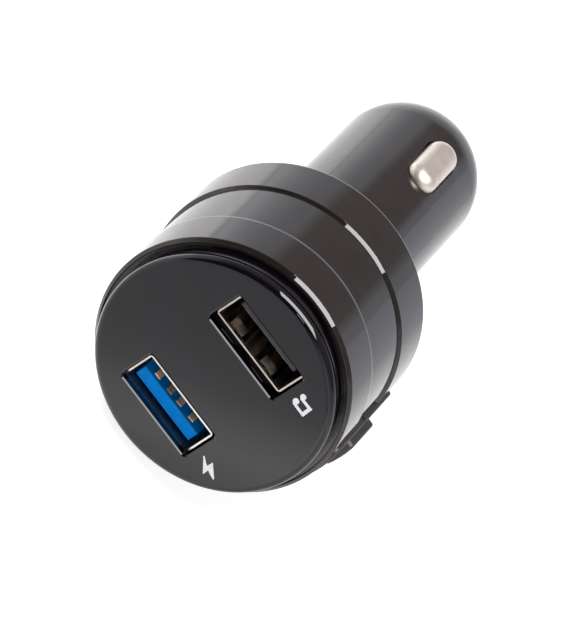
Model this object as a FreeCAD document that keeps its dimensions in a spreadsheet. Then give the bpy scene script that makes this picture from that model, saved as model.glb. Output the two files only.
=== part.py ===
import FreeCAD, Part
import math
import os
import re
import Sketcher

# A car FM transmitter that plugs into a 12 V socket.
# The origin is the centre of the front face. +Y runs back along the plug, +Z is up, the keys are at +X.
# All sizes are in millimetres.

size_list = {
    # Front panel
    "panel_inset": 1.25,
    "panel_edge_round": 1.0,
    "panel_thickness": 1.0,
    "panel_height": 3.4,
    "panel_step": 0.12,
    "panel_step_place": 1.3,
    "skirt_depth": 1.4,
    "skirt_wall": 1.1,
    "seat_clearance": 0.1,
    "cutout_side_gap": 0.25,
    "cutout_inner_gap": 0.73,
    "cutout_outer_cover": 0.63,
    "cutout_corner": 0.5,
    "cutout_bevel_width": 0.2,
    "cutout_bevel_depth": 0.12,
    # Head shell
    "head_radius": 18.0,
    "head_wall": 2.4,
    "rear_margin": 2.8,
    "lip_gap": 0.52,
    "lip_height": 0.56,
    "lip_round": 0.12,
    "front_band_gap": 0.05,
    "front_band_length": 6.95,
    "front_band_slope": 0.47,
    "front_band_round": 1.4,
    "band_recess": 0.33,
    "band_edge_round": 0.14,
    "rear_band_slope": 0.38,
    "rear_band_length": 8.1,
    "rear_band_rise": 0.05,
    "rear_edge_round": 0.8,
    # Plug barrel
    "flange_inset": 1.55,
    "flange_thickness": 1.2,
    "flange_clearance": 0.05,
    "spigot_length": 1.4,
    "spigot_wall": 1.2,
    "mouth_lead": 0.4,
    "mouth_length": 3.4,
    "barrel_radius": 10.45,
    "barrel_wall": 1.45,
    "barrel_length": 36.2,
    "flare_margin": 0.7,
    "draft_length": 15.5,
    "nose_draft": 0.05,
    # Centre pin with its spring and terminal
    "pin_radius": 2.35,
    "pin_clearance": 0.07,
    "pin_reach": 4.4,
    "pin_seat_margin": 0.4,
    "collar_radius": 3.6,
    "collar_thickness": 1.2,
    "tail_radius": 1.4,
    "tail_length": 3.0,
    "stop_gap": 0.05,
    "spring_wire_radius": 0.3,
    "spring_coil_radius": 2.2,
    "spring_turns": 6,
    "terminal_radius": 3.6,
    "terminal_thickness": 1.0,
    "terminal_post_length": 2.0,
    "terminal_tab_length": 3.0,
    "terminal_tab_thickness": 0.5,
    "terminal_tab_width": 3.0,
    # Side contacts and their leaf springs
    "contact_length": 11.3,
    "contact_width": 4.6,
    "contact_rise": 1.6,
    "contact_setback": 8.6,
    "contact_gap": 0.3,
    "contact_edge_round": 1.7,
    "contact_flange_margin": 0.8,
    "contact_flange_thickness": 0.8,
    "leaf_thickness": 0.3,
    "leaf_width": 3.0,
    "leaf_foot_length": 4.0,
    "leaf_arm_run": 7.0,
    "leaf_pad_length": 5.0,
    # Keys
    "window_width": 8.9,
    "window_length": 19.45,
    "window_lead": 1.15,
    "window_corner": 1.4,
    "key_gap": 0.3,
    "key_travel": 0.4,
    "key_rise": 0.5,
    "key_edge_round": 0.35,
    "key_flange_margin": 0.75,
    "key_flange_thickness": 0.8,
    "fork_width": 1.85,
    "end_key_length": 5.925,
    "centre_key_rise": 1.6,
    "centre_key_corner": 0.8,
    # Push switches
    "switch_width": 4.2,
    "switch_height": 3.6,
    "switch_depth": 3.6,
    "switch_overhang": 0.2,
    "stem_radius": 0.9,
    "stem_clearance": 0.2,
    "stem_reach": 1.0,
    # Sockets
    "socket_inset": 6.77,
    "socket_clearance": 0.05,
    "shell_width": 13.1,
    "shell_height": 5.7,
    "shell_wall": 0.25,
    "shell_length": 14.0,
    "shell_corner": 0.5,
    "leg_width": 2.0,
    "leg_start": 4.0,
    "leg_spread": 6.0,
    "finger_place": 3.1,
    "finger_window_width": 3.8,
    "finger_window_start": 0.55,
    "finger_window_length": 6.0,
    "finger_width": 2.4,
    "finger_bend": 0.5,
    "finger_bend_reach": 4.4,
    "finger_tip_reach": 5.5,
    "finger_thickness": 0.2,
    "tongue_width": 11.1,
    "tongue_thickness": 1.84,
    "tongue_offset": 0.92,
    "tongue_setback": 1.2,
    "tongue_edge_round": 0.25,
    "block_length": 4.5,
    "strip_width": 1.0,
    "strip_thickness": 0.2,
    "strip_setback": 0.75,
    "strip_inner_place": 1.0,
    "strip_outer_place": 3.5,
    "strip_tail": 0.6,
    "strip_leg_thickness": 0.3,
    # Display
    "display_gap": 0.15,
    "display_width": 14.5,
    "display_side_gap": 1.48,
    "display_depth": 2.6,
    "display_bevel": 0.4,
    "digit_height": 5.3,
    "digit_width": 2.6,
    "digit_pitch": 4.1,
    "segment_width": 0.75,
    "segment_gap": 0.12,
    "segment_thickness": 0.1,
    "digit_slant": 6.0,
    # Board and what is soldered to it
    "board_thickness": 1.6,
    "board_side_gap": 4.6,
    "board_step_gap": 0.6,
    "board_clearance": 0.3,
    "board_setback": 9.5,
    "capacitor_radius": 3.0,
    "capacitor_length": 7.0,
    "capacitor_gap": 0.8,
    "capacitor_groove": 0.25,
    "capacitor_groove_place": 1.0,
    "inductor_side": 6.0,
    "inductor_height": 3.8,
    "inductor_gap": 1.7,
    "inductor_corner": 1.2,
    "inductor_dish_radius": 2.2,
    "inductor_dish_depth": 0.4,
    "chip_width": 3.9,
    "chip_length": 5.0,
    "chip_height": 1.5,
    "chip_standoff": 0.15,
    "chip_leg_pitch": 1.27,
    "chip_leg_width": 0.45,
    "chip_leg_reach": 1.0,
    "chip_leg_thickness": 0.25,
    "chip_legs": 4,
    "radio_chip_gap": 0.85,
    "converter_chip_gap": 6.4,
}

near = 0.001
full_turn = 360
half_turn = 180
quarter_turn = 90

doc = FreeCAD.newDocument("car_fm_transmitter")
sheet = doc.addObject("Spreadsheet::Sheet", "sizes")
for row, (name, amount) in enumerate(size_list.items(), start=1):
    sheet.set(f"A{row}", name)
    sheet.set(f"B{row}", str(amount))
    sheet.setAlias(f"B{row}", name)
doc.recompute()

# Places that several pieces share, worked out from the sheet
panel_radius = "(head_radius - panel_inset)"
flange_radius = "(head_radius - flange_inset)"
rear_band_radius = "(head_radius + rear_band_rise)"
head_bore = "(head_radius - head_wall)"
skirt_radius = f"({head_bore} - seat_clearance)"
lip_inner = f"({panel_radius} + panel_step + lip_gap)"
front_band_start = "(panel_height + front_band_gap)"
front_band_end = f"({front_band_start} + front_band_length)"
window_start = "(panel_height + skirt_depth + window_lead)"
window_end = f"({window_start} + window_length)"
key_place = f"({window_start} + window_length / 2)"
head_length = f"({window_end} + rear_margin)"
rear_band_start = f"({head_length} - rear_band_length)"
flange_seat = f"({head_length} - flange_thickness)"
spigot_start = f"({flange_seat} - spigot_length)"
barrel_bore = "(barrel_radius - barrel_wall)"
nose_radius = "(barrel_radius - nose_draft)"
dome_place = f"({head_length} + barrel_length)"
pin_hole = "(pin_radius + pin_clearance)"
pin_seat_radius = "(collar_radius + pin_seat_margin)"
pin_seat = f"({dome_place} + sqrt({barrel_bore}^2 - {pin_seat_radius}^2))"
collar_end = f"({pin_seat} - stop_gap)"
collar_start = f"({collar_end} - collar_thickness)"
pin_tip = f"({dome_place} + {nose_radius} + pin_reach)"
board_end = f"({dome_place} - board_setback)"
terminal_face = f"({board_end} + terminal_thickness)"
board_top = "(board_thickness / 2)"
display_front = "(panel_thickness + display_gap)"
board_front = f"({display_front} + display_depth)"
board_wide_half = f"({head_bore} - board_side_gap)"
contact_place = f"({dome_place} - contact_setback)"
contact_flange_half = "(contact_width / 2 + contact_flange_margin)"
contact_flange_top = f"(sqrt({barrel_bore}^2 - {contact_flange_half}^2) - contact_gap)"
contact_flange_floor = f"({contact_flange_top} - contact_flange_thickness)"
contact_top_height = "(barrel_radius + contact_rise)"
leaf_pad_start = f"({contact_place} - leaf_pad_length / 2)"
leaf_foot_end = f"({leaf_pad_start} - leaf_arm_run)"
leaf_foot_start = f"({leaf_foot_end} - leaf_foot_length)"
key_top_radius = "(head_radius + key_rise)"
centre_key_top_radius = "(head_radius + centre_key_rise)"
centre_key_width = "(window_width - 2 * fork_width)"
centre_key_length = "(window_length - 2 * end_key_length)"
switch_spread = f"((window_length + {centre_key_length}) / 4)"
key_flange_half = "(window_width / 2 + key_flange_margin)"
key_flange_top = f"(sqrt({head_bore}^2 - {key_flange_half}^2) - key_gap)"
key_flange_floor = f"({key_flange_top} - key_flange_thickness)"
centre_flange_top = f"({key_flange_floor} - key_travel - key_gap)"
centre_flange_floor = f"({centre_flange_top} - key_flange_thickness)"
switch_face = f"({board_wide_half} + switch_overhang)"
stem_height = f"({board_top} + switch_height / 2)"
socket_mouth = "(panel_thickness + socket_clearance)"
shell_end = f"({socket_mouth} + shell_length)"
socket_place = f"({head_bore} - socket_inset)"
shell_floor = f"({socket_place} - shell_height / 2)"
display_height = f"(2 * ({shell_floor} - display_side_gap))"
tongue_face = f"({socket_place} + tongue_offset - tongue_thickness / 2)"
tongue_front = f"({socket_mouth} + tongue_setback)"
block_start = f"({shell_end} - block_length)"
strip_back = f"({shell_end} + strip_tail)"
inductor_place = f"({leaf_foot_start} - inductor_gap - inductor_side / 2)"
capacitor_place = f"({inductor_place} - inductor_side / 2 - capacitor_gap - capacitor_length)"
radio_chip_place = f"({strip_back} + radio_chip_gap + chip_length / 2)"
converter_chip_place = f"({leaf_foot_start} - converter_chip_gap - chip_length / 2)"


def bound(text):
    # The same text with each size read from the sheet
    return re.sub(r"[a-z_]+", lambda word: f"sizes.{word[0]}" if word[0] in size_list else word[0], text)


def number(text):
    return float(sheet.evalExpression(bound(text)))


def drive(item, setting, text):
    item.setExpression(setting, bound(text))


def new_body(label):
    body = doc.addObject("PartDesign::Body", label)
    body.Label = label
    body.AllowCompound = True
    return body


def new_sketch(body, role, offset=None):
    sketch = body.newObject("Sketcher::SketchObject", f"{body.Label}_sketch")
    plane = [item for item in body.Origin.OriginFeatures if item.Role == role][0]
    sketch.AttachmentSupport = [(plane, "")]
    sketch.MapMode = "FlatFace"
    if offset:
        drive(sketch, "AttachmentOffset.Base.z", offset)
    return sketch


def fix_point(sketch, item, end, across, along, fixed="both"):
    # A point held at its distances from the sketch's two axes
    for kind, axis, text, way in (("DistanceX", -2, across, "across"), ("DistanceY", -1, along, "along")):
        if fixed not in ("both", way):
            continue
        if text == "0":
            sketch.addConstraint(Sketcher.Constraint("PointOnObject", item, end, axis))
            continue
        index = sketch.addConstraint(Sketcher.Constraint(kind, -1, 1, item, end, number(text)))
        drive(sketch, f"Constraints[{index}]", text)


def outline(sketch, corners, arcs=None):
    # A closed line through the corners; arcs gives the centre and the turn of each curved side
    arcs = arcs or {}
    spots = [FreeCAD.Vector(number(corner[0]), number(corner[1]), 0) for corner in corners]
    first = sketch.GeometryCount
    ends = []
    for index, spot in enumerate(spots):
        following = spots[(index + 1) % len(spots)]
        if index not in arcs:
            sketch.addGeometry(Part.LineSegment(spot, following), False)
            ends.append((1, 2))
            continue
        across, along, turn = arcs[index]
        centre = FreeCAD.Vector(number(across), number(along), 0)
        angles = [math.atan2(place.y - centre.y, place.x - centre.x) for place in (spot, following)]
        circle = Part.Circle(centre, FreeCAD.Vector(0, 0, 1), (spot - centre).Length)
        if turn == "left":
            sketch.addGeometry(Part.ArcOfCircle(circle, angles[0], angles[1]), False)
            ends.append((1, 2))
        else:
            sketch.addGeometry(Part.ArcOfCircle(circle, angles[1], angles[0]), False)
            ends.append((2, 1))
    for index in range(len(spots)):
        after = (index + 1) % len(spots)
        meeting = (first + index, ends[index][1], first + after, ends[after][0])
        sketch.addConstraint(Sketcher.Constraint("Coincident", *meeting))
    for index, corner in enumerate(corners):
        fix_point(sketch, first + index, ends[index][0], *corner)
    for index, (across, along, turn) in arcs.items():
        fix_point(sketch, first + index, 3, across, along)


def rectangle(sketch, left, right, low, high):
    outline(sketch, [(left, low), (right, low), (right, high), (left, high)])


def stadium(sketch, half_width, middle, length):
    # A slot shape along the sketch's second axis, round at both ends
    run = f"(({length}) / 2 - {half_width})"
    low, high = f"({middle} - {run})", f"({middle} + {run})"
    corners = [
        (half_width, low, "along"),
        (half_width, high),
        (f"-{half_width}", high, "along"),
        (f"-{half_width}", low),
    ]
    outline(sketch, corners, {1: ("0", high, "left"), 3: ("0", low, "left")})


def circle(sketch, across, along, radius):
    centre = FreeCAD.Vector(number(across), number(along), 0)
    ring = Part.Circle(centre, FreeCAD.Vector(0, 0, 1), number(radius))
    item = sketch.addGeometry(ring, False)
    fix_point(sketch, item, 3, across, along)
    index = sketch.addConstraint(Sketcher.Constraint("Radius", item, number(radius)))
    drive(sketch, f"Constraints[{index}]", radius)


def revolve(body, sketch):
    feature = body.newObject("PartDesign::Revolution", f"{body.Label}_revolve")
    feature.Profile = sketch
    feature.ReferenceAxis = (sketch, ["V_Axis"])
    feature.Angle = full_turn
    doc.recompute()
    return feature


def pad(body, sketch, length, reverse=False, both_sides=False):
    feature = body.newObject("PartDesign::Pad", f"{body.Label}_pad")
    feature.Profile = sketch
    feature.SideType = "Symmetric" if both_sides else "One side"
    feature.Reversed = reverse
    drive(feature, "Length", length)
    doc.recompute()
    return feature


def check_cut(feature, before):
    if feature.Shape.Volume > before - near:
        raise RuntimeError(f"{feature.Label} cuts nothing")


def pocket(body, sketch, length=None, reverse=False, both_sides=False):
    before = body.Shape.Volume
    feature = body.newObject("PartDesign::Pocket", f"{body.Label}_pocket")
    feature.Profile = sketch
    feature.SideType = "Symmetric" if both_sides else "One side"
    feature.Reversed = reverse
    if length:
        drive(feature, "Length", length)
    else:
        feature.Type = "ThroughAll"
    doc.recompute()
    check_cut(feature, before)
    return feature


def trim_outside(body, radius, low, high, margin):
    # Cuts away everything of the body outside a cylinder about the plug's axis
    sketch = new_sketch(body, "XY_Plane")
    rectangle(sketch, radius, f"{radius} + {margin}", low, high)
    before = body.Shape.Volume
    feature = body.newObject("PartDesign::Groove", f"{body.Label}_groove")
    feature.Profile = sketch
    feature.ReferenceAxis = (sketch, ["V_Axis"])
    feature.Angle = full_turn
    doc.recompute()
    check_cut(feature, before)
    return feature


def edges_where(shape, test):
    return [f"Edge{index}" for index, edge in enumerate(shape.Edges, start=1) if test(edge)]


def is_ring(edge, radius, along):
    # A circle about the plug's axis with this radius and place
    curve = edge.Curve
    if not isinstance(curve, Part.Circle):
        return False
    return abs(curve.Radius - number(radius)) < near and abs(curve.Center.y - number(along)) < near


def runs_along(edge, axis):
    return isinstance(edge.Curve, Part.Line) and abs(edge.Curve.Direction.dot(axis)) > 1 - near


def soften(body, radius, test, kind="PartDesign::Fillet", setting="Radius"):
    # Rounds, or with other arguments bevels, the edges that the test picks
    base = body.Tip
    picked = edges_where(base.Shape, test)
    if not picked:
        raise RuntimeError(f"{body.Label} has no such edge")
    feature = body.newObject(kind, f"{body.Label}_edge")
    feature.Base = (base, picked)
    drive(feature, setting, radius)
    doc.recompute()
    return feature


def bevel(body, size, test):
    return soften(body, size, test, "PartDesign::Chamfer", "Size")


def turn_over(body):
    # The same piece on the other side of the plug's axis
    body.Placement = FreeCAD.Placement(FreeCAD.Vector(0, 0, 0), FreeCAD.Rotation(y_axis, half_turn))


x_axis = FreeCAD.Vector(1, 0, 0)
y_axis = FreeCAD.Vector(0, 1, 0)
z_axis = FreeCAD.Vector(0, 0, 1)


def head_shell():
    body = new_body("head_shell")
    profile = new_sketch(body, "XY_Plane")
    mid_radius = "head_radius - band_recess"
    recess_radius = f"{flange_radius} + flange_clearance"
    outline(profile, [
        (lip_inner, "panel_height"),
        (lip_inner, "panel_height - lip_height"),
        ("head_radius", front_band_start),
        ("head_radius", front_band_end),
        (mid_radius, f"{front_band_end} + front_band_slope"),
        (mid_radius, f"{rear_band_start} - rear_band_slope"),
        (rear_band_radius, rear_band_start),
        (rear_band_radius, head_length),
        (recess_radius, head_length),
        (recess_radius, flange_seat),
        (head_bore, flange_seat),
        (head_bore, "panel_height"),
    ])
    revolve(body, profile)
    soften(body, "rear_edge_round", lambda edge: is_ring(edge, rear_band_radius, head_length))
    soften(body, "lip_round", lambda edge: is_ring(edge, lip_inner, "panel_height - lip_height"))
    soften(body, "front_band_round", lambda edge: is_ring(edge, "head_radius", front_band_end))
    soften(body, "band_edge_round", lambda edge: (
        is_ring(edge, "head_radius", front_band_start)
        or is_ring(edge, rear_band_radius, rear_band_start)
    ))
    window = new_sketch(body, "YZ_Plane")
    rectangle(
        window,
        window_start, window_end,
        "-window_width / 2", "window_width / 2",
    )
    pocket(body, window, "2 * head_radius", reverse=True)
    soften(body, "window_corner", lambda edge: (
        runs_along(edge, x_axis) and edge.CenterOfMass.x > 0
        and abs(abs(edge.CenterOfMass.z) - number("window_width / 2")) < near
    ))
    return body


def face_panel():
    body = new_body("face_panel")
    profile = new_sketch(body, "XY_Plane")
    rim_radius = f"{panel_radius} + panel_step"
    outline(profile, [
        ("0", "0"),
        (panel_radius, "0"),
        (panel_radius, "panel_step_place"),
        (rim_radius, "panel_step_place"),
        (rim_radius, "panel_height"),
        (skirt_radius, "panel_height"),
        (skirt_radius, "panel_height + skirt_depth"),
        (f"{skirt_radius} - skirt_wall", "panel_height + skirt_depth"),
        (f"{skirt_radius} - skirt_wall", "panel_thickness"),
        ("0", "panel_thickness"),
    ])
    revolve(body, profile)
    soften(body, "panel_edge_round", lambda edge: is_ring(edge, panel_radius, "0"))
    openings = new_sketch(body, "XZ_Plane")
    half = "(shell_width / 2 + cutout_side_gap)"
    low = f"({shell_floor} - cutout_inner_gap)"
    high = f"({socket_place} + shell_height / 2 - cutout_outer_cover)"
    for sign in ("", "-"):
        rectangle(openings, f"-{half}", half, f"{sign}{low}", f"{sign}{high}")
    pocket(body, openings)
    soften(body, "cutout_corner", lambda edge: runs_along(edge, y_axis))
    mouths = bevel(body, "cutout_bevel_width", lambda edge: (
        edge.BoundBox.YMax < near and edge.BoundBox.DiagonalLength < number(panel_radius)
    ))
    mouths.ChamferType = "Two distances"
    drive(mouths, "Size2", "cutout_bevel_depth")
    doc.recompute()
    return body


def plug_barrel():
    body = new_body("plug_barrel")
    profile = new_sketch(body, "XY_Plane")
    spigot_bore = f"{skirt_radius} - spigot_wall"
    mouth_start = f"{flange_seat} - mouth_lead"
    flare_start = f"({flange_radius} - flare_margin)"
    flare_end = f"{head_length} + {flare_start} - barrel_radius"
    corners = [
        (skirt_radius, spigot_start),
        (skirt_radius, flange_seat),
        (flange_radius, flange_seat),
        (flange_radius, head_length),
        (flare_start, head_length),
        ("barrel_radius", flare_end, "along"),
        ("barrel_radius", f"{dome_place} - draft_length"),
        (nose_radius, dome_place),
        (pin_hole, f"{dome_place} + {nose_radius}", "across"),
        (pin_hole, pin_seat),
        (pin_seat_radius, pin_seat, "across"),
        (barrel_bore, dome_place),
        (barrel_bore, f"{mouth_start} + mouth_length"),
        (spigot_bore, mouth_start),
        (spigot_bore, spigot_start),
    ]
    outline(profile, corners, {
        4: (flare_start, flare_end, "right"),
        7: ("0", dome_place, "left"),
        10: ("0", dome_place, "right"),
    })
    revolve(body, profile)
    slots = new_sketch(body, "XY_Plane")
    stadium(slots, "(contact_width / 2 + contact_gap)", contact_place, "contact_length + 2 * contact_gap")
    pocket(body, slots, "4 * barrel_radius", both_sides=True)
    return body


def centre_pin():
    body = new_body("centre_pin")
    profile = new_sketch(body, "XY_Plane")
    shoulder = f"{pin_tip} - pin_radius"
    corners = [
        ("0", f"{collar_start} - tail_length"),
        ("tail_radius", f"{collar_start} - tail_length"),
        ("tail_radius", collar_start),
        ("collar_radius", collar_start),
        ("collar_radius", collar_end),
        ("pin_radius", collar_end),
        ("pin_radius", shoulder),
        ("0", pin_tip, "across"),
    ]
    outline(profile, corners, {6: ("0", shoulder, "left")})
    revolve(body, profile)
    return body


def pin_terminal():
    body = new_body("pin_terminal")
    profile = new_sketch(body, "XY_Plane")
    outline(profile, [
        ("0", board_end),
        ("terminal_radius", board_end),
        ("terminal_radius", terminal_face),
        ("tail_radius", terminal_face),
        ("tail_radius", f"{terminal_face} + terminal_post_length"),
        ("0", f"{terminal_face} + terminal_post_length"),
    ])
    revolve(body, profile)
    tabs = new_sketch(body, "YZ_Plane")
    for sign in ("", "-"):
        rectangle(
            tabs,
            f"{board_end} - terminal_tab_length", f"{board_end} + terminal_thickness / 2",
            f"{sign}{board_top}", f"{sign}({board_top} + terminal_tab_thickness)",
        )
    pad(body, tabs, "terminal_tab_width", both_sides=True)
    return body


def pin_spring():
    body = new_body("pin_spring")
    section = new_sketch(body, "XY_Plane")
    first_turn = f"({terminal_face} + spring_wire_radius + stop_gap)"
    last_turn = f"({collar_start} - spring_wire_radius - stop_gap)"
    circle(section, "spring_coil_radius", first_turn, "spring_wire_radius")
    feature = body.newObject("PartDesign::AdditiveHelix", "pin_spring_coil")
    feature.Profile = section
    feature.ReferenceAxis = (section, ["V_Axis"])
    feature.Mode = "height-turns-angle"
    drive(feature, "Height", f"{last_turn} - {first_turn}")
    drive(feature, "Turns", "spring_turns")
    doc.recompute()
    return body


def side_contact(label):
    body = new_body(label)
    flange = new_sketch(body, "XY_Plane", contact_flange_floor)
    stadium(flange, contact_flange_half, contact_place, "contact_length + 2 * contact_flange_margin")
    pad(body, flange, "contact_flange_thickness")
    plate = new_sketch(body, "XY_Plane", contact_flange_top)
    stadium(plate, "(contact_width / 2)", contact_place, "contact_length")
    pad(body, plate, f"{contact_top_height} - {contact_flange_top}")
    soften(body, "contact_edge_round", lambda edge: (
        edge.BoundBox.ZMin > number(contact_top_height) - near
    ))
    return body


def contact_spring(label):
    body = new_body(label)
    profile = new_sketch(body, "YZ_Plane")
    pad_end = f"{leaf_pad_start} + leaf_pad_length"
    pad_top = f"({contact_flange_floor} - stop_gap)"
    outline(profile, [
        (leaf_foot_start, board_top),
        (leaf_foot_end, board_top),
        (leaf_pad_start, f"{pad_top} - leaf_thickness"),
        (pad_end, f"{pad_top} - leaf_thickness"),
        (pad_end, pad_top),
        (f"{leaf_pad_start} - leaf_thickness", pad_top),
        (f"{leaf_foot_end} - leaf_thickness", f"{board_top} + leaf_thickness"),
        (leaf_foot_start, f"{board_top} + leaf_thickness"),
    ])
    pad(body, profile, "leaf_width", both_sides=True)
    return body


def round_top(body, top):
    # The key's outer face follows the head, with a soft edge all round
    low, high = f"{key_place} - window_length", f"{key_place} + window_length"
    trim_outside(body, top, low, high, "head_radius")
    soften(body, "min(key_edge_round; fork_width / 4)", lambda edge: (
        all(abs(math.hypot(point.x, point.z) - number(top)) < near for point in edge.discretize(3))
    ))


def end_key(label, sign):
    # A key that reaches round the centre key; sign says on which side of the centre it lies
    body = new_body(label)
    outer_end = f"{key_place} {sign} (window_length / 2 - key_gap)"
    split = f"{key_place} {sign} key_gap / 2"
    notch_end = f"{key_place} {sign} ({centre_key_length} / 2 + key_gap)"
    notch_half = f"({centre_key_width} / 2 + key_gap)"

    def forked_plate(floor, half, height):
        plan = new_sketch(body, "YZ_Plane", floor)
        outline(plan, [
            (outer_end, f"-{half}"),
            (split, f"-{half}"),
            (split, f"-{notch_half}"),
            (notch_end, f"-{notch_half}"),
            (notch_end, notch_half),
            (split, notch_half),
            (split, half),
            (outer_end, half),
        ])
        pad(body, plan, height)

    key_half = "(window_width / 2 - key_gap)"
    forked_plate(key_flange_floor, key_flange_half, "key_flange_thickness")
    forked_plate(key_flange_top, key_half, f"{key_top_radius} - {key_flange_top}")
    soften(body, "window_corner - key_gap", lambda edge: (
        runs_along(edge, x_axis) and abs(edge.CenterOfMass.y - number(outer_end)) < near
        and edge.BoundBox.XMin > number(key_flange_top) - near
    ))
    round_top(body, key_top_radius)
    return body


def centre_key():
    body = new_body("key_centre")
    margin = "(key_gap + key_flange_thickness)"
    half_length, half_width = f"({centre_key_length} / 2)", f"({centre_key_width} / 2)"
    flange = new_sketch(body, "YZ_Plane", centre_flange_floor)
    rectangle(
        flange,
        f"{key_place} - {half_length} - {margin}", f"{key_place} + {half_length} + {margin}",
        f"-({half_width} + {margin})", f"{half_width} + {margin}",
    )
    pad(body, flange, "key_flange_thickness")
    plan = new_sketch(body, "YZ_Plane", centre_flange_top)
    rectangle(
        plan,
        f"{key_place} - {half_length}", f"{key_place} + {half_length}",
        f"-{half_width}", half_width,
    )
    pad(body, plan, f"{centre_key_top_radius} - {centre_flange_top}")
    soften(body, "centre_key_corner", lambda edge: (
        runs_along(edge, x_axis) and edge.BoundBox.XMin > number(centre_flange_top) - near
    ))
    round_top(body, centre_key_top_radius)
    return body


def push_switch(label, place):
    body = new_body(label)
    plan = new_sketch(body, "YZ_Plane", f"{switch_face} - switch_depth")
    rectangle(
        plan,
        f"{place} - switch_width / 2", f"{place} + switch_width / 2",
        board_top, f"{board_top} + switch_height",
    )
    pad(body, plan, "switch_depth")
    bore = new_sketch(body, "YZ_Plane", switch_face)
    circle(bore, place, stem_height, "stem_radius + stem_clearance")
    pocket(body, bore, "stem_reach + key_travel + stem_clearance")
    return body


def switch_stem(label, place, key_back):
    stem = doc.addObject("Part::Cylinder", label)
    stem.Label = label
    drive(stem, "Radius", "stem_radius")
    drive(stem, "Height", f"{key_back} - {switch_face} + stem_reach")
    stem.Placement = FreeCAD.Placement(FreeCAD.Vector(0, 0, 0), FreeCAD.Rotation(y_axis, quarter_turn))
    drive(stem, "Placement.Base.x", f"{switch_face} - stem_reach")
    drive(stem, "Placement.Base.y", place)
    drive(stem, "Placement.Base.z", stem_height)
    return stem


def socket_shell(label):
    body = new_body(label)
    section = new_sketch(body, "XZ_Plane", f"-{socket_mouth}")
    for inset in ("0", "shell_wall"):
        half = f"(shell_width / 2 - {inset})"
        rise = f"(shell_height / 2 - {inset})"
        rectangle(section, f"-{half}", half, f"{socket_place} - {rise}", f"{socket_place} + {rise}")
    pad(body, section, "shell_length", reverse=True)
    soften(body, "shell_corner", lambda edge: (
        runs_along(edge, y_axis) and abs(edge.CenterOfMass.x) > number("shell_width / 2") - near
    ))
    windows = new_sketch(body, "XY_Plane", shell_floor)
    slot_start = f"{socket_mouth} + finger_window_start"
    slot_end = f"({slot_start} + finger_window_length)"
    for sign in ("-", ""):
        middle = f"{sign}finger_place"
        rectangle(
            windows,
            f"{middle} - finger_window_width / 2", f"{middle} + finger_window_width / 2",
            slot_start, slot_end,
        )
    pocket(body, windows, "2 * shell_wall", reverse=True)
    bend_place = f"{slot_end} - finger_bend_reach"
    tip_place = f"{slot_end} - finger_tip_reach"
    for sign in ("-", ""):
        finger = new_sketch(body, "YZ_Plane", f"{sign}finger_place")
        outline(finger, [
            (f"{slot_end} + shell_wall", shell_floor),
            (f"{slot_end} + shell_wall", f"{shell_floor} + finger_thickness"),
            (slot_end, f"{shell_floor} + finger_thickness"),
            (bend_place, f"{shell_floor} + finger_thickness + finger_bend"),
            (tip_place, f"{shell_floor} + finger_thickness"),
            (tip_place, shell_floor),
            (bend_place, f"{shell_floor} + finger_bend"),
            (slot_end, shell_floor),
        ])
        pad(body, finger, "finger_width", both_sides=True)
    for offset in ("shell_width / 2 - shell_wall", "-shell_width / 2"):
        legs = new_sketch(body, "YZ_Plane", offset)
        for step in ("0", "leg_spread"):
            start = f"{socket_mouth} + leg_start + {step}"
            rectangle(legs, start, f"{start} + leg_width", board_top, socket_place)
        pad(body, legs, "shell_wall")
    return body


def socket_tongue(label):
    body = new_body(label)
    block = new_sketch(body, "XZ_Plane", f"-{block_start}")
    half = "(shell_width / 2 - shell_wall - socket_clearance)"
    rise = "(shell_height / 2 - shell_wall - socket_clearance)"
    rectangle(block, f"-{half}", half, f"{socket_place} - {rise}", f"{socket_place} + {rise}")
    pad(body, block, "block_length", reverse=True)
    tongue = new_sketch(body, "XZ_Plane", f"-{tongue_front}")
    rectangle(
        tongue,
        "-tongue_width / 2", "tongue_width / 2",
        tongue_face, f"{tongue_face} + tongue_thickness",
    )
    pad(body, tongue, f"{block_start} + block_length / 2 - {tongue_front}", reverse=True)
    soften(body, "tongue_edge_round", lambda edge: (
        abs(edge.BoundBox.YMax - number(tongue_front)) < near
    ))
    channel = new_sketch(body, "XZ_Plane", f"-{block_start}")
    reach = "(strip_outer_place + strip_width / 2 + socket_clearance)"
    rectangle(
        channel,
        f"-{reach}", reach,
        f"{tongue_face} - strip_thickness - socket_clearance", tongue_face,
    )
    pocket(body, channel, "block_length")
    return body


def socket_contacts(label):
    body = new_body(label)
    places = ("-strip_outer_place", "-strip_inner_place", "strip_inner_place", "strip_outer_place")
    strips = new_sketch(body, "XY_Plane", f"{tongue_face} - strip_thickness")
    legs = new_sketch(body, "XZ_Plane", f"-{strip_back}")
    for place in places:
        left, right = f"{place} - strip_width / 2", f"{place} + strip_width / 2"
        rectangle(strips, left, right, f"{tongue_front} + strip_setback", strip_back)
        rectangle(legs, left, right, board_top, tongue_face)
    pad(body, strips, "strip_thickness")
    pad(body, legs, "strip_leg_thickness")
    return body


def display_module():
    body = new_body("display_module")
    front = new_sketch(body, "XZ_Plane", f"-{display_front}")
    rise = f"{display_height} / 2"
    rectangle(front, "-display_width / 2", "display_width / 2", f"-{rise}", rise)
    pad(body, front, "display_depth", reverse=True)
    bevel(body, "display_bevel", lambda edge: abs(edge.BoundBox.YMin - number(board_front)) < near)
    return body


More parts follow.
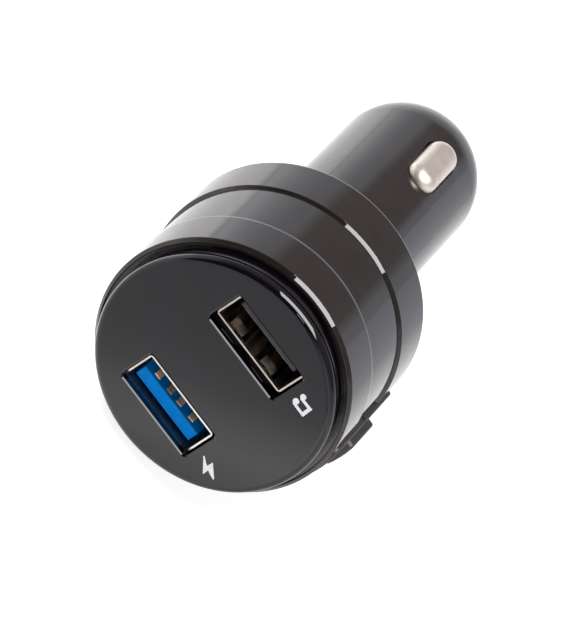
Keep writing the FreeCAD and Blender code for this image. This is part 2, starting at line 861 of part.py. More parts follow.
def display_segments():
    # Three seven-bar digits and a point, standing on the front of the display module
    half_height, half_width = number("digit_height") / 2, number("digit_width") / 2
    bar_half, gap = number("segment_width") / 2, number("segment_gap")
    lean = math.tan(math.radians(number("digit_slant")))
    front = number(display_front)
    thickness = FreeCAD.Vector(0, number("segment_thickness"), 0)
    start = front - thickness.y

    def bar(middle_x, middle_z, half_length, upright):
        end = half_length - gap
        flat = end - bar_half
        run = [(-end, 0), (-flat, bar_half), (flat, bar_half)]
        run += [(-along, -across) for along, across in run]
        points = []
        for along, across in run:
            x, z = (across, along) if upright else (along, across)
            height = middle_z + z
            points.append(FreeCAD.Vector(middle_x + x + height * lean, start, height))
        return Part.Face(Part.makePolygon(points + points[:1])).extrude(thickness)

    solids = []
    for step in (-1, 0, 1):
        middle = step * number("digit_pitch")
        for level in (-half_height, 0, half_height):
            solids.append(bar(middle, level, half_width, False))
        for side in (-half_width, half_width):
            for level in (-half_height / 2, half_height / 2):
                solids.append(bar(middle + side, level, half_height / 2, True))
    point_x = number("digit_pitch") / 2 - half_height * lean
    place = FreeCAD.Vector(point_x, start, -half_height)
    solids.append(Part.makeCylinder(bar_half, thickness.y, place, y_axis))
    segments = doc.addObject("Part::Feature", "display_segments")
    segments.Label = "display_segments"
    segments.Shape = Part.makeCompound(solids)
    segments.Placement = FreeCAD.Placement()
    return segments


def main_board():
    body = new_body("main_board")
    plan = new_sketch(body, "XY_Plane", f"-{board_top}")
    narrow = f"({barrel_bore} - board_clearance)"
    step = f"({spigot_start} - board_step_gap)"
    outline(plan, [
        (board_wide_half, board_front),
        (board_wide_half, step),
        (narrow, step),
        (narrow, board_end),
        (f"-{narrow}", board_end),
        (f"-{narrow}", step),
        (f"-{board_wide_half}", step),
        (f"-{board_wide_half}", board_front),
    ])
    pad(body, plan, "board_thickness")
    return body


def capacitor():
    body = new_body("capacitor")
    profile = new_sketch(body, "XY_Plane")
    groove_radius = "capacitor_radius - capacitor_groove"
    groove_start = f"{capacitor_place} + capacitor_groove_place"
    outline(profile, [
        ("0", capacitor_place),
        ("capacitor_radius", capacitor_place),
        ("capacitor_radius", groove_start),
        (groove_radius, f"{groove_start} + capacitor_groove"),
        ("capacitor_radius", f"{groove_start} + 2 * capacitor_groove"),
        ("capacitor_radius", f"{capacitor_place} + capacitor_length"),
        ("0", f"{capacitor_place} + capacitor_length"),
    ])
    revolve(body, profile)
    drive(body, "Placement.Base.z", f"{board_top} + capacitor_radius")
    return body


def inductor():
    body = new_body("inductor")
    plan = new_sketch(body, "XY_Plane", board_top)
    rectangle(
        plan,
        "-inductor_side / 2", "inductor_side / 2",
        f"{inductor_place} - inductor_side / 2", f"{inductor_place} + inductor_side / 2",
    )
    pad(body, plan, "inductor_height")
    bevel(body, "inductor_corner", lambda edge: runs_along(edge, z_axis))
    dish = new_sketch(body, "XY_Plane", f"{board_top} + inductor_height")
    circle(dish, "0", inductor_place, "inductor_dish_radius")
    pocket(body, dish, "inductor_dish_depth")
    return body


def chip(label, place):
    body = new_body(label)
    case = new_sketch(body, "XY_Plane", f"{board_top} + chip_standoff")
    rectangle(
        case,
        "-chip_width / 2", "chip_width / 2",
        f"{place} - chip_length / 2", f"{place} + chip_length / 2",
    )
    pad(body, case, "chip_height")
    legs = new_sketch(body, "XY_Plane", board_top)
    leg_count = int(number("chip_legs"))
    for index in range(leg_count):
        middle = f"{place} + ({index} - (chip_legs - 1) / 2) * chip_leg_pitch"
        rectangle(
            legs,
            "-(chip_width / 2 + chip_leg_reach)", "chip_width / 2 + chip_leg_reach",
            f"{middle} - chip_leg_width / 2", f"{middle} + chip_leg_width / 2",
        )
    pad(body, legs, "chip_leg_thickness")
    return body


def socket(name):
    return [
        socket_shell(f"{name}_socket_shell"),
        socket_tongue(f"{name}_socket_tongue"),
        socket_contacts(f"{name}_socket_contacts"),
    ]


def keys():
    front, middle, rear = f"{key_place} - {switch_spread}", key_place, f"{key_place} + {switch_spread}"
    pieces = [end_key("key_front", "-"), centre_key(), end_key("key_rear", "+")]
    backs = (key_flange_floor, centre_flange_floor, key_flange_floor)
    for name, place, back in zip(("front", "centre", "rear"), (front, middle, rear), backs):
        pieces.append(push_switch(f"switch_{name}", place))
        pieces.append(switch_stem(f"stem_{name}", place, back))
    return pieces


def build():
    pieces = [head_shell(), face_panel(), plug_barrel()]
    pieces += [centre_pin(), pin_spring(), pin_terminal()]
    pieces += [side_contact("contact_top"), contact_spring("contact_spring_top")]
    below = [side_contact("contact_bottom"), contact_spring("contact_spring_bottom")]
    pieces += keys()
    pieces += [main_board(), display_module(), display_segments()]
    pieces += socket("music")
    below += socket("charge")
    pieces += [capacitor(), inductor()]
    below += [chip("radio_chip", radio_chip_place), chip("converter_chip", converter_chip_place)]
    for piece in below:
        turn_over(piece)
    return pieces + below


def write(pieces):
    doc.recompute()
    for item in doc.Objects:
        if "Invalid" in item.State or "Error" in item.State:
            raise RuntimeError(f"{item.Label} failed: {item.State}")
    for piece in pieces:
        if piece.Shape.isNull() or not piece.Shape.isValid() or not piece.Shape.Solids:
            raise RuntimeError(f"{piece.Label} has no valid solid")
    os.makedirs("parts", exist_ok=True)
    for piece in pieces:
        piece.Shape.exportStep(f"parts/{piece.Label}.step")
        print(piece.Label, len(piece.Shape.Solids), round(piece.Shape.Volume, 2))


write(build())
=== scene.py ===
import bmesh
import bpy
import math
from mathutils import Matrix, Vector


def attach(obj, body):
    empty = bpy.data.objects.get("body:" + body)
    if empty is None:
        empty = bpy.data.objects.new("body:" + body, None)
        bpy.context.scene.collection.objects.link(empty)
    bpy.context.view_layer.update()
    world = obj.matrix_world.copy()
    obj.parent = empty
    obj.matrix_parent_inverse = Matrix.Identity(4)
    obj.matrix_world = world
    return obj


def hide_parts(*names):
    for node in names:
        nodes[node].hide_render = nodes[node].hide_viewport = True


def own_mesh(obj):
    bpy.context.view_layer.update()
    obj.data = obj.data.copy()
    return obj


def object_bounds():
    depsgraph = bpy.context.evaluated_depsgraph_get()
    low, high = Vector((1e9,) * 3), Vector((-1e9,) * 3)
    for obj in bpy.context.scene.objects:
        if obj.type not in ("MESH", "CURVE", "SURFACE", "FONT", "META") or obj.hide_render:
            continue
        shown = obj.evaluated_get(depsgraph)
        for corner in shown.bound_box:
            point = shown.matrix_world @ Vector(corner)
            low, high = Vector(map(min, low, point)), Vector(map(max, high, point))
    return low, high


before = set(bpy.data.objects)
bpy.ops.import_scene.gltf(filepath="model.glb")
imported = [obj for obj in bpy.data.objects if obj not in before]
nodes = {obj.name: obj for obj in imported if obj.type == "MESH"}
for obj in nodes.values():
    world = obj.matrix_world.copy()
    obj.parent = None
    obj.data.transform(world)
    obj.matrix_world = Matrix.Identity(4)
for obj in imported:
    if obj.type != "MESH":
        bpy.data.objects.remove(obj)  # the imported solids, in metres: +Y runs back along the plug, keys at +X
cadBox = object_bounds()
scene = bpy.context.scene
scene.view_settings.view_transform = "Standard"
mm = 0.001
print("frame loaded:", len(nodes), "nodes")


def linearColour(code):
    parts = [int(code[i:i + 2], 16) / 255 for i in (1, 3, 5)]
    return [c / 12.92 if c <= 0.04045 else ((c + 0.055) / 1.055) ** 2.4 for c in parts] + [1]


# one node with its settings and the sockets that feed it
def addNode(tree, kind, settings=None, links=None):
    node = tree.nodes.new(kind)
    for name, value in (settings or {}).items():
        if isinstance(name, int) or name in node.inputs:
            node.inputs[name].default_value = value
        else:
            setattr(node, name, value)
    for name, source in (links or {}).items():
        tree.links.new(source, node.inputs[name])
    return node


def newMaterial(name):
    material = bpy.data.materials.new(name)
    material.use_nodes = True
    tree = material.node_tree
    tree.nodes.clear()
    place = addNode(tree, "ShaderNodeTexCoord").outputs["Object"]
    return material, tree, place


def finishMaterial(tree, surface):
    addNode(tree, "ShaderNodeOutputMaterial", links={"Surface": surface.outputs[0]})


def grey(amount):
    return [amount, amount, amount, 1]


def fillRamp(ramp, stops):
    elements = ramp.color_ramp.elements
    while len(elements) < len(stops):
        elements.new(0.5)
    for element, (position, colour) in zip(elements, stops):
        element.position = position
        element.color = colour
    return ramp


# noise between two colours or two greys; grain is the size of a fleck in mm
fleckLook = {"detail": 3.0, "ends": (0.35, 0.65)}


def flecks(tree, place, grain, low, high):
    noise = addNode(tree, "ShaderNodeTexNoise",
                    {"Scale": 1 / (grain * mm), "Detail": fleckLook["detail"]}, {"Vector": place})
    ramp = addNode(tree, "ShaderNodeValToRGB", links={"Fac": noise.outputs["Fac"]})
    return fillRamp(ramp, list(zip(fleckLook["ends"], (low, high)))).outputs["Color"]


# moulded plastic: a colour that drifts a little, roughness flecks and a fine skin
def mouldedPlastic(name, settings):
    material, tree, place = newMaterial(name)
    dark, light = (linearColour(code) for code in settings["colours"])
    smooth, dull = (grey(amount) for amount in settings["rough"])
    colour = flecks(tree, place, settings["driftMm"], dark, light)
    rough = flecks(tree, place, settings["fleckMm"], smooth, dull)
    skin = addNode(tree, "ShaderNodeTexNoise", {"Scale": 1 / (settings["skinMm"] * mm)},
                   {"Vector": place})
    bump = addNode(tree, "ShaderNodeBump",
                   {"Strength": settings["skin"], "Distance": settings["skinDepthMm"] * mm},
                   {"Height": skin.outputs["Fac"]})
    surface = addNode(tree, "ShaderNodeBsdfPrincipled", {"IOR": settings["ior"]},
                      {"Base Color": colour, "Roughness": rough, "Normal": bump.outputs["Normal"]})
    finishMaterial(tree, surface)
    return material


# metal: streaks along one axis from drawing, turning or pressing
metalLook = {"streakDetail": 2.0, "streakDepthMm": 0.01, "coatRough": 0.08}


def workedMetal(name, settings):
    material, tree, place = newMaterial(name)
    dark, light = (linearColour(code) for code in settings["colours"])
    smooth, dull = (grey(amount) for amount in settings["rough"])
    colour = flecks(tree, place, settings["driftMm"], dark, light)
    streakScale = [1 / (size * mm) for size in settings["streakMm"]]
    stretched = addNode(tree, "ShaderNodeMapping", {"Scale": streakScale}, {"Vector": place})
    streaks = addNode(tree, "ShaderNodeTexNoise",
                      {"Scale": 1.0, "Detail": metalLook["streakDetail"]},
                      {"Vector": stretched.outputs[0]})
    ramp = addNode(tree, "ShaderNodeValToRGB", links={"Fac": streaks.outputs["Fac"]})
    rough = fillRamp(ramp, [(0.0, smooth), (1.0, dull)]).outputs["Color"]
    bump = addNode(tree, "ShaderNodeBump",
                   {"Strength": settings["streak"], "Distance": metalLook["streakDepthMm"] * mm},
                   {"Height": streaks.outputs["Fac"]})
    surface = addNode(tree, "ShaderNodeBsdfPrincipled",
                      {"Metallic": settings["metallic"], "Coat Weight": settings["coat"],
                       "Coat Roughness": metalLook["coatRough"]},
                      {"Base Color": colour, "Roughness": rough, "Normal": bump.outputs["Normal"]})
    finishMaterial(tree, surface)
    return material


# black ABS from a polished mould: brown-black, mirror-like, with a trace of orange peel
glossAbs = mouldedPlastic("absGlossMoulded", {
    "colours": ("#1e1a18", "#25201e"), "driftMm": 6.0, "rough": (0.02, 0.04), "fleckMm": 0.8,
    "skinMm": 2.2, "skin": 0.05, "skinDepthMm": 0.02, "ior": 1.54})
# smoked acrylic, polished: nearly black, it shows little but the floor in front of it
smokedAcrylic = mouldedPlastic("acrylicSmokedPolished", {
    "colours": ("#08060c", "#0d0a12"), "driftMm": 8.0, "rough": (0.03, 0.06), "fleckMm": 1.2,
    "skinMm": 3.0, "skin": 0.02, "skinDepthMm": 0.02, "ior": 1.49})
# black ABS from a spark-eroded mould: satin, with a fine even grain under the thumb
satinAbs = mouldedPlastic("absSatinMoulded", {
    "colours": ("#2c2827", "#36312f"), "driftMm": 3.0, "rough": (0.44, 0.54), "fleckMm": 0.3,
    "skinMm": 0.18, "skin": 0.15, "skinDepthMm": 0.02, "ior": 1.54})
# blue PBT, moulded: the bright carrier of a fast charging socket, dull enough to keep its colour
bluePbt = mouldedPlastic("pbtBlueMoulded", {
    "colours": ("#0073c5", "#007dd0"), "driftMm": 2.0, "rough": (0.5, 0.6), "fleckMm": 0.4,
    "skinMm": 0.3, "skin": 0.06, "skinDepthMm": 0.02, "ior": 1.2})
# black PBT, moulded: dull black, glass fibre gives it a dusty fleck
blackPbt = mouldedPlastic("pbtBlackMoulded", {
    "colours": ("#151416", "#201e20"), "driftMm": 2.0, "rough": (0.3, 0.42), "fleckMm": 0.4,
    "skinMm": 0.3, "skin": 0.08, "skinDepthMm": 0.02, "ior": 1.55})
# nickel over pressed brass, tumbled: warm white, broad soft reflections under a thin bright skin
nickelPlate = workedMetal("nickelPlatedPressed", {
    "colours": ("#d5cabf", "#e0d7cc"), "driftMm": 2.5, "rough": (0.42, 0.5),
    "streakMm": (0.25, 2.5, 0.25), "streak": 0.08, "metallic": 1.0, "coat": 0.5})
# nickel on drawn steel strip: cooler and duller than the contacts, streaked along the strip
socketSteel = workedMetal("steelNickelDrawn", {
    "colours": ("#bfb8b0", "#d0c9c0"), "driftMm": 1.8, "rough": (0.2, 0.3),
    "streakMm": (3.0, 0.12, 0.12), "streak": 0.1, "metallic": 1.0, "coat": 0.0})
# gold-flashed copper, tarnished: dull brown, rolled lengthwise, differs from strip to strip
goldCopper = workedMetal("copperGoldFlashed", {
    "colours": ("#7c7363", "#ffd2af"), "driftMm": 1.9, "rough": (0.5, 0.62),
    "streakMm": (0.08, 1.5, 0.08), "streak": 0.1, "metallic": 0.1, "coat": 0.0})
# oil-tempered spring wire: dark grey, smooth from the die
springSteel = workedMetal("steelSpringDrawn", {
    "colours": ("#8d8a86", "#a3a09b"), "driftMm": 1.0, "rough": (0.25, 0.36),
    "streakMm": (0.1, 0.1, 0.1), "streak": 0.05, "metallic": 1.0, "coat": 0.0})
# turned brass: yellow, ringed by the tool
turnedBrass = workedMetal("brassTurned", {
    "colours": ("#c7a350", "#d6b566"), "driftMm": 1.5, "rough": (0.22, 0.34),
    "streakMm": (2.0, 0.08, 2.0), "streak": 0.12, "metallic": 1.0, "coat": 0.0})
# glass laminate under green solder mask: half gloss, cloth weave shows through
boardLaminate = mouldedPlastic("laminateSolderMasked", {
    "colours": ("#0d4a2a", "#13613a"), "driftMm": 1.2, "rough": (0.25, 0.4), "fleckMm": 0.6,
    "skinMm": 0.4, "skin": 0.1, "skinDepthMm": 0.03, "ior": 1.52})
# grey epoxy cast into the display's frame: matt and even
displayEpoxy = mouldedPlastic("epoxyGreyCast", {
    "colours": ("#2a2a2e", "#34343a"), "driftMm": 2.0, "rough": (0.45, 0.6), "fleckMm": 0.5,
    "skinMm": 0.3, "skin": 0.1, "skinDepthMm": 0.02, "ior": 1.55})
# milky casting resin in the digit bars: pale blue, smooth
milkyResin = mouldedPlastic("resinMilkyCast", {
    "colours": ("#8fa4dc", "#a5b8e8"), "driftMm": 0.8, "rough": (0.3, 0.4), "fleckMm": 0.3,
    "skinMm": 0.3, "skin": 0.05, "skinDepthMm": 0.02, "ior": 1.5})
# shrunk PVC sleeve: dark blue, slightly wrinkled
shrunkSleeve = mouldedPlastic("pvcSleeveShrunk", {
    "colours": ("#141d3c", "#1c2850"), "driftMm": 2.0, "rough": (0.3, 0.42), "fleckMm": 0.5,
    "skinMm": 0.8, "skin": 0.2, "skinDepthMm": 0.04, "ior": 1.53})
# pressed ferrite powder: dark grey, dry and grainy
pressedFerrite = mouldedPlastic("ferritePressed", {
    "colours": ("#2c2b2b", "#434140"), "driftMm": 0.3, "rough": (0.6, 0.75), "fleckMm": 0.2,
    "skinMm": 0.2, "skin": 0.35, "skinDepthMm": 0.04, "ior": 1.6})
# transfer-moulded epoxy: black and matt
chipEpoxy = mouldedPlastic("epoxyChipMoulded", {
    "colours": ("#171717", "#222222"), "driftMm": 0.6, "rough": (0.5, 0.62), "fleckMm": 0.2,
    "skinMm": 0.15, "skin": 0.2, "skinDepthMm": 0.02, "ior": 1.55})
# pad-printed white ink: flat, dense, dry to the eye
whiteInk = mouldedPlastic("inkWhitePrinted", {
    "colours": ("#dedee2", "#e8e8ec"), "driftMm": 0.5, "rough": (0.45, 0.6), "fleckMm": 0.15,
    "skinMm": 0.12, "skin": 0.1, "skinDepthMm": 0.01, "ior": 1.5})
# pad-printed grey ink: faint on the satin keys
greyInk = mouldedPlastic("inkGreyPrinted", {
    "colours": ("#48433f", "#524c48"), "driftMm": 0.5, "rough": (0.45, 0.6), "fleckMm": 0.15,
    "skinMm": 0.12, "skin": 0.1, "skinDepthMm": 0.01, "ior": 1.5})
print("materials made")

# which finish each solid gets
finishes = {
    glossAbs: ("head_shell", "plug_barrel"),
    smokedAcrylic: ("face_panel",),
    satinAbs: ("key_front", "key_centre", "key_rear"),
    nickelPlate: ("centre_pin", "contact_top", "contact_bottom"),
    socketSteel: ("music_socket_shell", "charge_socket_shell"),
    bluePbt: ("charge_socket_tongue",),
    blackPbt: ("music_socket_tongue", "switch_front", "switch_centre", "switch_rear",
               "stem_front", "stem_centre", "stem_rear"),
    goldCopper: ("music_socket_contacts", "charge_socket_contacts"),
    springSteel: ("pin_spring", "contact_spring_top", "contact_spring_bottom"),
    turnedBrass: ("pin_terminal",),
    boardLaminate: ("main_board",),
    displayEpoxy: ("display_module",),
    milkyResin: ("display_segments",),
    shrunkSleeve: ("capacitor",),
    pressedFerrite: ("inductor",),
    chipEpoxy: ("radio_chip", "converter_chip"),
}
for material, names in finishes.items():
    for name in names:
        nodes[name].data.materials.clear()
        nodes[name].data.materials.append(material)
print("solids finished")


def arc(centre, radius, first, last, steps=14):
    turns = [math.radians(first + (last - first) * i / steps) for i in range(steps + 1)]
    return [(centre[0] + radius * math.cos(turn), centre[1] + radius * math.sin(turn))
            for turn in turns]


# a flat piece: a ring of points is pulled to its outline, filled and drawn out to its thickness
def drawnPiece(name, settings):
    bpy.ops.object.select_all(action="DESELECT")
    outline = settings["outlineMm"]
    bpy.ops.mesh.primitive_circle_add(vertices=len(outline), radius=mm, fill_type="NOTHING")
    piece = bpy.context.object
    piece.name = name
    bpy.ops.object.mode_set(mode="EDIT")
    mesh = bmesh.from_edit_mesh(piece.data)
    for i, point in enumerate(outline):
        bpy.ops.mesh.select_all(action="DESELECT")
        mesh.verts.ensure_lookup_table()
        mesh.verts[i].select_set(True)
        mesh.select_flush(True)
        bpy.ops.transform.translate(value=Vector(point) * mm - mesh.verts[i].co)
    bpy.ops.mesh.select_all(action="SELECT")
    bpy.ops.mesh.fill()
    bpy.ops.mesh.select_all(action="SELECT")
    through = Vector(settings["throughMm"]) * mm
    bpy.ops.mesh.extrude_region_move(TRANSFORM_OT_translate={"value": through})
    bpy.ops.mesh.select_all(action="SELECT")
    bpy.ops.mesh.normals_make_consistent(inside=False)
    bpy.ops.object.mode_set(mode="OBJECT")
    piece.data.materials.append(settings["material"])
    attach(piece, settings["body"])
    return piece


# ink on the face: across and height in mm, a little sunk so that it never floats
def printedSign(name, settings):
    depth = settings["sunkMm"] + settings["proudMm"]
    outline = [(across, settings["sunkMm"], height) for across, height in settings["outlineMm"]]
    drawnPiece(name, {"outlineMm": outline, "throughMm": (0, -depth, 0), "material": whiteInk,
                      "body": "housing", "slot": "panel_plastic"})


# two quavers under a beam by the music socket
printedSign("noteSign", {
    "sunkMm": 0.01, "proudMm": 0.008,
    "outlineMm": arc((8.51, 8.1), 0.45, -29, 235)
    + [(8.56, 7.45), (10.57, 7.42), (10.66, 7.48), (10.56, 9.25), (10.47, 9.32), (10.14, 9.28)]
    + arc((8.56, 9.38), 0.42, -18, 235) + [(8.61, 8.8), (10.06, 8.83), (10.15, 7.87)]})
# lightning bolt by the charging socket
printedSign("boltSign", {
    "sunkMm": 0.01, "proudMm": 0.008,
    "outlineMm": [(7.97, -8.52), (8.08, -8.41), (9.33, -9.04), (9.35, -8.08), (9.42, -8.02),
                  (11.2, -9.36), (11.3, -9.55), (11.19, -9.63), (9.89, -9.34), (9.95, -10.29),
                  (9.87, -10.32)]})


# a faint mark on a key's round top: along the plug and height in mm from the mark's middle
def keyMark(name, settings):
    outline = []
    for along, height in settings["outlineMm"]:
        top = math.sqrt(settings["topRadiusMm"] ** 2 - height ** 2)
        outline.append((top - settings["sunkMm"], settings["middleMm"] + along, height))
    depth = settings["sunkMm"] + settings["proudMm"]
    drawnPiece(name, {"outlineMm": outline, "throughMm": (depth, 0, 0), "material": greyInk,
                      "body": settings["body"], "slot": "key_plastic"})


# bars of plus and minus: how far they run from the middle, and half their width
barLook = {"armMm": 0.75, "halfMm": 0.17}
arm, half = barLook["armMm"], barLook["halfMm"]
keyMark("playMark", {
    "body": "centre_key", "topRadiusMm": 19.6, "middleMm": 15.67, "sunkMm": 0.05, "proudMm": 0.04,
    "outlineMm": [(-1.1, 0.85), (1.1, 0.85), (0.0, -1.05)]})
keyMark("plusMark", {
    "body": "rear_key", "topRadiusMm": 18.5, "middleMm": 22.9, "sunkMm": 0.05, "proudMm": 0.03,
    "outlineMm": [(-arm, -half), (-half, -half), (-half, -arm), (half, -arm), (half, -half),
                  (arm, -half), (arm, half), (half, half), (half, arm), (-half, arm),
                  (-half, half), (-arm, half)]})
keyMark("minusMark", {
    "body": "front_key", "topRadiusMm": 18.5, "middleMm": 8.45, "sunkMm": 0.05, "proudMm": 0.03,
    "outlineMm": [(-half, -arm), (half, -arm), (half, arm), (-half, arm)]})
print("signs printed")

# the springs stand for their solids
coilLook = {"wireMm": 0.3, "coilMm": 2.2, "turns": 6, "firstMm": 56.25, "pitchMm": 2.435,
            "fixedMm": 55.9, "keep": 0.763, "sides": 10, "steps": 24, "mergeMm": 0.001,
            "smoothDeg": 40}
bpy.ops.object.select_all(action="DESELECT")
bpy.ops.mesh.primitive_circle_add(vertices=coilLook["sides"], radius=coilLook["wireMm"] * mm,
                                  location=(coilLook["coilMm"] * mm, coilLook["firstMm"] * mm, 0))
pinCoil = bpy.context.object
pinCoil.name = "pinCoil"
bpy.ops.object.transform_apply(location=True, rotation=False, scale=False)
wound = pinCoil.modifiers.new("wound", "SCREW")
wound.axis = "Y"
wound.angle = 2 * math.pi
wound.screw_offset = coilLook["pitchMm"] * mm
wound.iterations = coilLook["turns"]
wound.steps = wound.render_steps = coilLook["steps"]
bpy.ops.object.modifier_apply(modifier="wound")
bpy.ops.object.mode_set(mode="EDIT")
bpy.ops.mesh.select_all(action="SELECT")
bpy.ops.mesh.remove_doubles(threshold=coilLook["mergeMm"] * mm)
bpy.ops.mesh.fill_holes(sides=0)  # the cut ends of the wire
bpy.ops.mesh.normals_make_consistent(inside=False)
bpy.ops.object.mode_set(mode="OBJECT")
bpy.ops.object.shade_smooth_by_angle(angle=math.radians(coilLook["smoothDeg"]))
pinCoil.data.materials.append(springSteel)
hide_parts("pin_spring")
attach(pinCoil, "housing")
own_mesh(pinCoil)

# leaf springs in profile: a foot on the board, a rising arm and a pad under the contact
leafLook = {"widthMm": 3.0, "fixedMm": 0.8, "keep": 0.737,
            "profileMm": ((42.3, 0.8), (46.3, 0.8), (53.3, 7.0), (58.3, 7.0), (58.3, 7.299),
                          (53.0, 7.299), (46.0, 1.1), (42.3, 1.1))}
for side, name, node, joint in ((1, "topLeaf", "contact_spring_top", "upper_contact_slide"),
                                (-1, "bottomLeaf", "contact_spring_bottom", "lower_contact_slide")):
    edge = -leafLook["widthMm"] / 2
    leaf = drawnPiece(name, {
        "outlineMm": [(edge, along, side * height) for along, height in leafLook["profileMm"]],
        "throughMm": (leafLook["widthMm"], 0, 0), "material": springSteel,
        "body": "housing", "slot": "spring_steel"})
    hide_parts(node)
    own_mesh(leaf)
print("springs wound and folded")

# camera at the photograph's place, in mm and unit directions
camera = {
    "place": (-91.774, -686.468, 478.009),
    "right": (0.603128, 0.390173, 0.695702),
    "up": (-0.790252, 0.410760, 0.454729),
    "forward": (0.108344, 0.824040, -0.556076),
    "focalPx": 6591.96,
    "imageHeightPx": 630,
    "sensorMm": 36.0,
    "nearM": 0.01,
}
cameraData = bpy.data.cameras.new("photoCamera")
cameraData.sensor_fit = "VERTICAL"
cameraData.sensor_height = camera["sensorMm"]
cameraData.lens = camera["focalPx"] * camera["sensorMm"] / camera["imageHeightPx"]
cameraData.clip_start = camera["nearM"]
photoCamera = bpy.data.objects.new("photoCamera", cameraData)
scene.collection.objects.link(photoCamera)
turn = Matrix((camera["right"], camera["up"], [-part for part in camera["forward"]])).transposed()
photoCamera.matrix_world = Matrix.Translation(Vector(camera["place"]) * mm) @ turn.to_4x4()
scene.camera = photoCamera
print("camera placed")

# pale floor just under the head; in gloss it carries a painted pool of light
floorLook = {
    "sizeM": 0.66, "gapMm": 0.02, "albedo": "#e6e6e6", "glow": 0.75,
    "slant": (1, 1, 0), "reachMm": 50,
    "paintedPoolInGloss": ((0.0, 0.12), (0.2, 0.24), (0.3, 0.45), (0.36, 0.9), (0.44, 1.4), (0.66, 0.6))}
bpy.ops.object.select_all(action="DESELECT")
floorHeight = cadBox[0][2] - floorLook["gapMm"] * mm
bpy.ops.mesh.primitive_plane_add(size=floorLook["sizeM"], location=(0, 0, floorHeight))
floor = bpy.context.object
floor.name = "paleFloor"
floorMaterial, tree, place = newMaterial("floorPaintedWhite")
path = addNode(tree, "ShaderNodeLightPath").outputs
mirrored = addNode(tree, "ShaderNodeMath", {"operation": "MAXIMUM"},
                   {0: path["Is Glossy Ray"], 1: path["Is Transmission Ray"]})
# painted pool of light on the floor, seen only in gloss: brightest at the head's foot and dimming towards the
# front left
slant = addNode(tree, "ShaderNodeVectorMath",
                {"operation": "DOT_PRODUCT", 1: floorLook["slant"]}, {0: place})
reach = floorLook["reachMm"] * mm
along = addNode(tree, "ShaderNodeMapRange", {"From Min": -reach, "From Max": reach},
                {"Value": slant.outputs["Value"]})
paintedPool = fillRamp(addNode(tree, "ShaderNodeValToRGB", links={"Fac": along.outputs[0]}),
                [(position, grey(amount)) for position, amount in floorLook["paintedPoolInGloss"]])
inGloss = addNode(tree, "ShaderNodeMath", {"operation": "MULTIPLY"},
                  {0: mirrored.outputs[0], 1: paintedPool.outputs["Color"]})
strength = addNode(tree, "ShaderNodeMath", {"operation": "MULTIPLY_ADD", 1: floorLook["glow"]},
                   {0: path["Is Camera Ray"], 2: inGloss.outputs[0]})
matt = addNode(tree, "ShaderNodeBsdfDiffuse", {"Color": linearColour(floorLook["albedo"])})
glow = addNode(tree, "ShaderNodeEmission", links={"Strength": strength.outputs[0]})
both = addNode(tree, "ShaderNodeAddShader", links={0: matt.outputs[0], 1: glow.outputs[0]})
finishMaterial(tree, both)
floor.data.materials.append(floorMaterial)

# the room: white to the camera; in reflections it fades from a bright horizon to a dim ceiling,
# with a white card at the back right and darkness around the camera;
# edges run from outside to inside
roomLook = {
    "fade": ((0.0, (1.4, 1.43, 1.5)), (0.05, (1.22, 1.25, 1.33)), (0.14, (1.05, 1.07, 1.15)),
             (0.28, (0.82, 0.83, 0.9)), (0.39, (0.76, 0.77, 0.84)), (0.46, (0.43, 0.385, 0.385)),
             (0.6, (0.38, 0.335, 0.335))),
    "card": (1.0, 1.0, 1.1), "cardEdges": {"Z": (0.32, 0.3), "X": (0.0, 0.1), "Y": (0.0, 0.1)},
    "front": (0.03, 0.03, 0.03), "frontEdges": {"Y": (-0.2, -0.45), "X": (0.45, 0.2)},
}


# how far a direction lies inside soft edges, from 0 to 1
def within(tree, parts, edges):
    share = None
    for axis, (outside, inside) in edges.items():
        side = addNode(tree, "ShaderNodeMapRange", {"From Min": outside, "From Max": inside},
                       {"Value": parts.outputs[axis]}).outputs[0]
        if share is None:
            share = side
        else:
            share = addNode(tree, "ShaderNodeMath", {"operation": "MULTIPLY"},
                            {0: share, 1: side}).outputs[0]
    return share


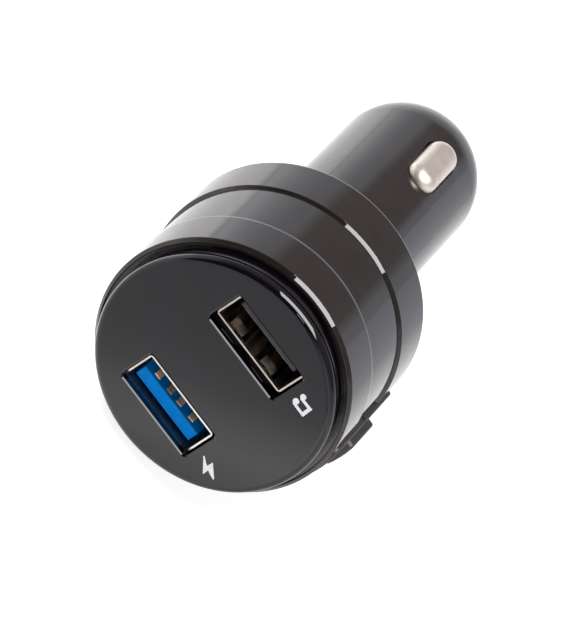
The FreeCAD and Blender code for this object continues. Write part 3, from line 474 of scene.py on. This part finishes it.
world = bpy.data.worlds.new("softRoom")
scene.world = world
world.use_nodes = True
tree = world.node_tree
tree.nodes.clear()
way = addNode(tree, "ShaderNodeTexCoord").outputs["Generated"]
parts = addNode(tree, "ShaderNodeSeparateXYZ", links={"Vector": way})
fade = fillRamp(addNode(tree, "ShaderNodeValToRGB", links={"Fac": parts.outputs["Z"]}),
                [(height, (*light, 1)) for height, light in roomLook["fade"]])
withCard = addNode(tree, "ShaderNodeMixRGB", {"Color2": (*roomLook["card"], 1)},
                   {"Fac": within(tree, parts, roomLook["cardEdges"]),
                    "Color1": fade.outputs["Color"]})
withFront = addNode(tree, "ShaderNodeMixRGB", {"Color2": (*roomLook["front"], 1)},
                    {"Fac": within(tree, parts, roomLook["frontEdges"]),
                     "Color1": withCard.outputs[0]})
path = addNode(tree, "ShaderNodeLightPath")
byCamera = addNode(tree, "ShaderNodeMixRGB", {"Color2": (1, 1, 1, 1)},
                   {"Fac": path.outputs["Is Camera Ray"], "Color1": withFront.outputs[0]})
air = addNode(tree, "ShaderNodeBackground", links={"Color": byCamera.outputs[0]})
addNode(tree, "ShaderNodeOutputWorld", links={"Surface": air.outputs[0]})


# one softbox: place, size and aim in mm; its power follows from its luminance
def softbox(name, settings):
    data = bpy.data.lights.new(name, "AREA")
    data.shape = "RECTANGLE"
    data.size, data.size_y = (side * mm for side in settings["sizeMm"])
    area = data.size * data.size_y
    data.energy = settings["luminance"] * math.pi * area
    lamp = bpy.data.objects.new(name, data)
    scene.collection.objects.link(lamp)
    lamp.location = Vector(settings["placeMm"]) * mm
    aim = Vector(settings["aimMm"]) * mm - lamp.location
    lamp.rotation_euler = aim.to_track_quat("-Z", "Y").to_euler()
    lamp.visible_diffuse = settings["lightsUp"]
    lamp.visible_glossy = settings["shows"]


# a large reflector above the face and a small one over the camera, both seen only in gloss,
# the main light, a low front light that brings out print and plastic in the sockets,
# and a wash on the floor at the left
softbox("topReflector", {"placeMm": (41, -278, 855), "sizeMm": (600, 700), "luminance": 12.0,
                         "aimMm": (0, 5, 0), "lightsUp": False, "shows": True})
softbox("frontReflector", {"placeMm": (109, -883, 460), "sizeMm": (95, 95), "luminance": 8.5,
                           "aimMm": (0, 0, 8), "lightsUp": False, "shows": True})
softbox("topSoftbox", {"placeMm": (-135, -385, 790), "sizeMm": (420, 420), "luminance": 2.5,
                       "aimMm": (0, 20, 0), "lightsUp": True, "shows": False})
softbox("frontFill", {"placeMm": (50, -900, 160), "sizeMm": (420, 160), "luminance": 20.0,
                      "aimMm": (0, 0, 0), "lightsUp": True, "shows": False})
softbox("floorWash", {"placeMm": (-190, 100, 140), "sizeMm": (160, 160), "luminance": 7.5,
                      "aimMm": (-80, 110, -18), "lightsUp": True, "shows": False})
print("stage lit")
